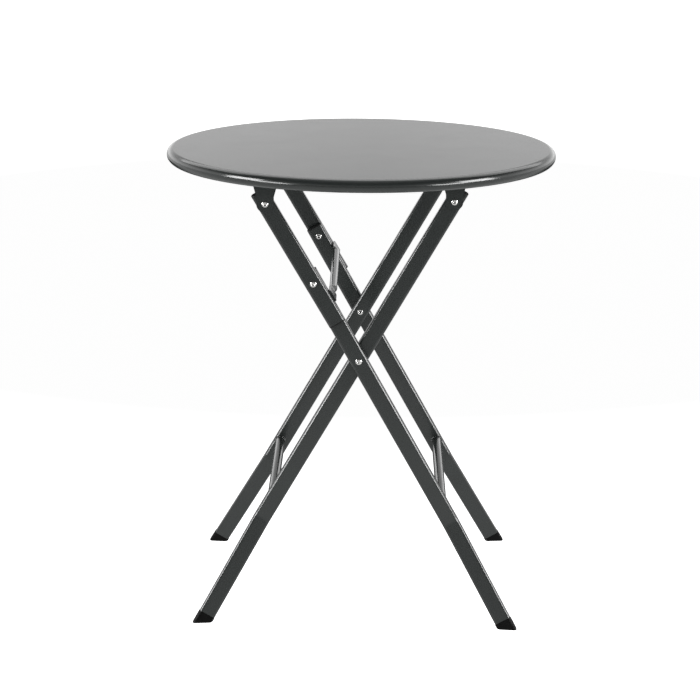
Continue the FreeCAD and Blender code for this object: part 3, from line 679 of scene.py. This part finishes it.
def rail(node, body):
    """A folded channel under the top; its web runs on at both ends and bends down into the ears."""
    low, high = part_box(node)
    middle = (low.x + high.x) / 2
    half = (high.x - low.x) / 2
    top, face = high.z, high.y
    hinge = LEFT_EAR.z
    gauge, bend, flange = 2 * MM, 4 * MM, 14 * MM
    ear, neck = 13 * MM, 10.6 * MM
    columns = 9
    bend_steps, fold_steps = 6, 5

    def half_width(z):
        """The ear's half width at a height."""
        rise = z - hinge
        if rise < 0:
            return math.sqrt(max(ear * ear - rise * rise, 0))
        if rise < neck:
            return ear
        return ear + (half - ear) * (rise - neck) / (top - hinge - neck)

    # Rows of the web and ears, from the ear's round end up: (y, z, half width, in the channel).
    rows = []
    round_steps = 10
    for step in range(round_steps + 1):
        angle = math.radians(86 * (1 - step / round_steps))
        rows.append((face, hinge - ear * math.sin(angle), ear * math.cos(angle), False))
    for rise in (4 * MM, 8 * MM, neck):
        rows.append((face, hinge + rise, ear, False))
    steps = 9
    bottom = hinge + neck
    for step in range(1, steps + 1):
        z = bottom + (top - bend - bottom) * step / steps
        rows.append((face, z, half_width(z), False))
    for step in range(1, bend_steps + 1):
        angle = math.pi / 2 * step / bend_steps
        z = top - bend + bend * math.sin(angle)
        rows.append((face - bend + bend * math.cos(angle), z, half_width(z), False))
    last = face - bend - 4.0 * MM
    rows.append((face - bend - 1.5 * MM, top, half, False))
    rows.append((face - bend - 3.0 * MM, top, half - bend, False))
    rows.append((last, top, half - bend, True))
    middle_rows = 10
    inner_rows = [(last - 2 * last * k / middle_rows, top, half - bend, True)
                  for k in range(1, middle_rows)]
    rows = rows + inner_rows + [(-y, z, w, c) for y, z, w, c in reversed(rows)]

    shell = Shell()
    web, left, right = [], [], []
    for y, z, width, channel in rows:
        web.append(shell.ring([Vector((middle + width * (2 * k / (columns - 1) - 1), y, z))
                               for k in range(columns)]))
        for store, way in ((left, -1), (right, 1)):
            points = []
            if channel:
                for step in range(1, fold_steps + 1):
                    angle = math.pi / 2 * step / fold_steps
                    points.append(Vector((middle + way * (half - bend + bend * math.sin(angle)), y,
                                          top - bend + bend * math.cos(angle))))
                for drop in (0.7, 1.0):
                    points.append(Vector((middle + way * half, y, top - bend - (flange - bend) * drop)))
            store.append(shell.ring(points))
    for index in range(len(rows) - 1):
        a, b = web[index], web[index + 1]
        for k in range(columns - 1):
            shell.faces.append((a[k], b[k], b[k + 1], a[k + 1]))
        if rows[index][3] and rows[index + 1][3]:
            for store, edge, way in ((left, 0, -1), (right, columns - 1, 1)):
                a_line = [a[edge]] + store[index]
                b_line = [b[edge]] + store[index + 1]
                for k in range(len(a_line) - 1):
                    face_points = (a_line[k], b_line[k], b_line[k + 1], a_line[k + 1])
                    shell.faces.append(face_points if way > 0 else face_points[::-1])
    item = piece(node + "_sheet", shell, body, "powder_coat", [node], sharp=None, outward=False)
    thick = item.modifiers.new("Gauge", "SOLIDIFY")
    thick.thickness = gauge
    thick.offset = -1
    thick.use_even_offset = True
    edge = item.modifiers.new("Edges", "BEVEL")
    edge.width = 0.3 * MM
    edge.segments = 2
    edge.limit_method = "ANGLE"
    edge.angle_limit = math.radians(50)
    weigh_normals(item)

    # Spot welds along the web's underside.
    welds = Shell()
    count = 5
    from_end = 30 * MM
    for k in range(count):
        y = (last - from_end) * (2 * k / (count - 1) - 1) + random.uniform(-2, 2) * MM
        x = middle + random.uniform(-2, 2) * MM
        at = Vector((x, y, top - gauge))
        lathe(welds, [(r * MM, h * MM) for r, h in SPOT_WELD], at, Vector((0, 0, -1)), segments=28)
    piece(node + "_spot_welds", welds, body, "powder_coat", sharp=60)


rail("outer_rail", "top_assembly")
rail("inner_rail", "top_assembly")


# ---------------------------------------------------------------- rivets and washers

# (radius, height) in mm: the domed head with its recess, and the rolled end with its bore.
HEAD = [(5.0, 0.0), (5.0, 0.5), (4.93, 0.85), (4.65, 1.3), (4.2, 1.7), (3.6, 2.02), (3.0, 2.18),
        (2.6, 2.2), (2.3, 2.12), (2.1, 1.92), (2.0, 1.6), (1.93, 1.1), (1.75, 0.8), (1.3, 0.66), (0.0, 0.62)]
HEAD_HEIGHT = 2.2
ROLLED = [(3.0, 0.0), (4.2, 0.0), (4.5, -0.18), (4.6, -0.5), (4.52, -0.85), (4.25, -1.12), (3.8, -1.27),
          (3.2, -1.3), (2.7, -1.24), (2.3, -1.08), (2.08, -0.8), (2.0, -0.4), (2.0, 3.4), (1.7, 3.7),
          (0.0, 3.7)]
ROLLED_HEIGHT = 1.3
SHANK = 3.0
SHANK_EASE = 0.3


def rivet(node, at, body, side, head=True, tail=True):
    """A hinge rivet along Y, with a recessed domed head outside and a rolled end inside.

    Without its head or tail the shank ends there, with an eased edge."""
    low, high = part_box(node)
    far, near = sorted((abs(low.y), abs(high.y)), reverse=True)
    shell = Shell()
    profile = []
    if head:
        base = far / MM - HEAD_HEIGHT
        profile += [(r, base + h) for r, h in reversed(HEAD)] + [(SHANK, base)]
    else:
        profile += [(0.0, far / MM), (SHANK - SHANK_EASE, far / MM), (SHANK, far / MM - SHANK_EASE)]
    if tail:
        base = near / MM + ROLLED_HEIGHT
        profile += [(r, base + h) for r, h in ROLLED]
    else:
        profile += [(SHANK, near / MM + SHANK_EASE), (SHANK - SHANK_EASE, near / MM), (0.0, near / MM)]
    lathe(shell, [(r * MM, y * MM) for r, y in profile], Vector((at.x, 0, at.z)), Vector((0, side, 0)),
          segments=40)
    item = piece(node + "_steel", shell, body, "bright_steel", [node], sharp=40)
    weigh_normals(item)


def washer(node, at, body, side):
    """A flat nylon ring with round edges."""
    low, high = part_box(node)
    far, near = sorted((abs(low.y) / MM, abs(high.y) / MM), reverse=True)
    bore, rim, edge, shoulder = 3.05, 8.5, 0.25, 0.07
    profile = [(bore + edge, near), (rim - edge, near), (rim - shoulder, near + shoulder),
               (rim, near + edge), (rim, far - edge), (rim - shoulder, far - shoulder),
               (rim - edge, far), (bore + edge, far), (bore, far - edge), (bore, near + edge)]
    shell = Shell()
    lathe(shell, [(r * MM, y * MM) for r, y in profile], Vector((at.x, 0, at.z)), Vector((0, side, 0)),
          segments=44, closed=True)
    item = piece(node + "_ring", shell, body, "nylon", [node])
    weigh_normals(item)


BODY_OF = {node: body for body, nodes in frame["record"]["behaviour"]["bodies"].items() for node in nodes}
for side, name in SIDES:
    for tag, at in (("_link_ear_rivet", LEFT_EAR), ("_knee_rivet", KNEE), ("_crossing_rivet", CROSSING)):
        rivet(name + tag, at, BODY_OF[name + tag], side)
    rivet(name + "_leg_ear_rivet_head", RIGHT_EAR, BODY_OF[name + "_leg_ear_rivet_head"], side, tail=False)
    rivet(name + "_leg_ear_rivet_shank", RIGHT_EAR, BODY_OF[name + "_leg_ear_rivet_shank"], side, head=False)
    for tag, at in (("_link_ear_washer", LEFT_EAR), ("_knee_washer", KNEE), ("_crossing_washer", CROSSING),
                    ("_leg_ear_washer", RIGHT_EAR)):
        washer(name + tag, at, BODY_OF[name + tag], side)


# ---------------------------------------------------------------- studio

def disc(name, radius, material):
    """A wide floor for the studio, not part of the table."""
    shell = Shell()
    count = 64
    inner_radii = (6.0, 2.0)
    rings = []
    for reach in (radius, *inner_radii):
        turns = [math.tau * k / count for k in range(count)]
        rings.append(shell.ring([Vector((reach * math.cos(t), reach * math.sin(t), 0)) for t in turns]))
    for low, high in zip(rings, rings[1:]):
        shell.bridge(low, high)
    shell.cap(rings[-1])
    mesh = bpy.data.meshes.new(name)
    mesh.from_pydata(shell.points, [], shell.faces)
    floor = bpy.data.objects.new(name, mesh)
    bpy.context.scene.collection.objects.link(floor)
    mesh.materials.append(material)
    return floor


def matt(shader):
    shader.inputs["Roughness"].default_value = 0.9
    shader.inputs["Specular IOR Level"].default_value = 0.0


def seen_material():
    """A white floor, lit from within so that it is even, that can't be seen from below."""
    material, tree, shader, at = node_tree("floor")
    tree.links.new(ramp(tree, noise(tree, at, 3, 2), [(0.3, grey(0.78)), (0.7, grey(0.80))]),
                   shader.inputs["Base Color"])
    matt(shader)
    shader.inputs["Emission Color"].default_value = (1, 1, 1, 1)
    shader.inputs["Emission Strength"].default_value = 0.93
    mix = tree.nodes.new("ShaderNodeMixShader")
    tree.links.new(tree.nodes.new("ShaderNodeNewGeometry").outputs["Backfacing"], mix.inputs[0])
    tree.links.new(shader.outputs[0], mix.inputs[1])
    tree.links.new(tree.nodes.new("ShaderNodeBsdfTransparent").outputs[0], mix.inputs[2])
    tree.links.new(mix.outputs[0], tree.nodes["Material Output"].inputs["Surface"])
    return material


def mirrored_material():
    """Light grey, with a dark patch straight behind the table and a slow fade to dark in front of it."""
    material, tree, shader, at = node_tree("floor_mirrored")
    away = tree.nodes.new("ShaderNodeVectorMath")
    away.operation = "DISTANCE"
    away.inputs[1].default_value = (0, 2.6, 0)
    tree.links.new(at, away.inputs[0])
    share = spread(tree, away.outputs["Value"], 0, 1, start=1.6, end=2.4)
    tree.links.new(ramp(tree, share, [(0.0, grey(0.03)), (1.0, grey(1.0))]), shader.inputs["Emission Color"])
    split = tree.nodes.new("ShaderNodeSeparateXYZ")
    tree.links.new(at, split.inputs[0])
    fade = spread(tree, split.outputs["Y"], 0.02, 0.62, start=-2.5, end=-0.9)
    tree.links.new(fade, shader.inputs["Emission Strength"])
    tree.links.new(ramp(tree, share, [(0.0, grey(0.05)), (1.0, grey(0.5))]), shader.inputs["Base Color"])
    matt(shader)
    return material


def sky():
    """Bright over the horizon, more so behind the table, then dark, then pale overhead."""
    world = bpy.data.worlds.new("studio")
    world.use_nodes = True
    tree = world.node_tree
    background = tree.nodes["Background"]
    split = tree.nodes.new("ShaderNodeSeparateXYZ")
    tree.links.new(tree.nodes.new("ShaderNodeTexCoord").outputs["Generated"], split.inputs["Vector"])
    # The bright band over the horizon reaches higher at the sides.
    aside = tree.nodes.new("ShaderNodeMath")
    aside.operation = "ABSOLUTE"
    tree.links.new(split.outputs["X"], aside.inputs[0])
    rise = tree.nodes.new("ShaderNodeMath")
    rise.operation = "MULTIPLY_ADD"
    rise.inputs[1].default_value = -0.28
    tree.links.new(aside.outputs[0], rise.inputs[0])
    tree.links.new(split.outputs["Z"], rise.inputs[2])
    colour = ramp(tree, rise.outputs[0], [(0.0, grey(1.6)), (0.11, grey(1.08)), (0.18, grey(0.76)),
                                          (0.27, grey(0.6)), (0.36, grey(0.10)), (0.70, grey(0.2)),
                                          (1.0, grey(1.2))])
    tree.links.new(colour, background.inputs["Color"])
    strength = spread(tree, split.outputs["Y"], 0.35, 1.0, start=-0.3, end=0.3)
    tree.links.new(strength, background.inputs["Strength"])
    bpy.context.scene.world = world


def soft_box(name, place, aim, width, height, radiance, hidden_from="diffuse"):
    """A rectangular light for gloss or for diffuse only; its power gives the same brightness at any size."""
    light = bpy.data.lights.new(name, "AREA")
    light.shape = "RECTANGLE"
    light.size, light.size_y = width, height
    light.energy = radiance * math.pi * width * height
    item = bpy.data.objects.new(name, light)
    item.location = place
    item.rotation_mode = "QUATERNION"
    item.rotation_quaternion = (Vector(aim) - Vector(place)).to_track_quat("-Z", "Y")
    item.visible_camera = False
    setattr(item, "visible_" + hidden_from, False)
    bpy.context.scene.collection.objects.link(item)


def studio():
    """A white floor for the camera, a greyer one that the paint mirrors, the sky and soft boxes.

    The side boxes give the light lines along the legs and on the rim. They stay low and to the side, so that
    the flat top mirrors them from few directions. The back box lights the rim's shoulder, and the front fill
    evens out the legs' faces."""
    seen = disc("floor", 40.0, seen_material())
    for ray in ("visible_diffuse", "visible_glossy", "visible_transmission", "visible_shadow"):
        setattr(seen, ray, False)
    mirrored = disc("floor_mirrored", 39.0, mirrored_material())
    mirrored.visible_camera = False
    sky()
    for side in (-1, 1):
        soft_box(f"side_box_{side}", place=(side * 2.32, -0.94, 1.25), aim=(0, 0, 1.25),
                 width=0.95, height=1.1, radiance=17)
        soft_box(f"low_box_{side}", place=(side * 1.90, -1.64, 0.65), aim=(0, 0, 0.65),
                 width=0.85, height=0.56, radiance=13)
    soft_box("back_box", place=(0, 1.6, 2.7), aim=(0, 0, 0.7), width=5.0, height=2.4, radiance=2.0)
    soft_box("front_fill", place=(0, -3.6, 1.6), aim=(0, 0, 0.5), width=3.0, height=1.6, radiance=1.5,
             hidden_from="glossy")
    bpy.context.scene.view_settings.view_transform = "Standard"


def camera():
    """The photo's viewpoint and lens, fitted to the table; angles in radians."""
    pitch, yaw, roll = -0.2433, -0.0092, 0.0080
    place = (0.0201, -3.8239, 1.3346)
    forward = Vector((math.sin(yaw) * math.cos(pitch), math.cos(yaw) * math.cos(pitch), math.sin(pitch)))
    level = Vector((math.cos(yaw), -math.sin(yaw), 0))
    upward = level.cross(forward)
    right = level * math.cos(roll) + upward * math.sin(roll)
    up = upward * math.cos(roll) - level * math.sin(roll)
    data = bpy.data.cameras.new("camera")
    data.sensor_width = 36
    data.lens = 127.69
    item = bpy.data.objects.new("camera", data)
    pose = Matrix((right, up, -forward)).transposed().to_4x4()
    pose.translation = Vector(place)
    item.matrix_world = pose
    bpy.context.scene.collection.objects.link(item)
    bpy.context.scene.camera = item


studio()
camera()
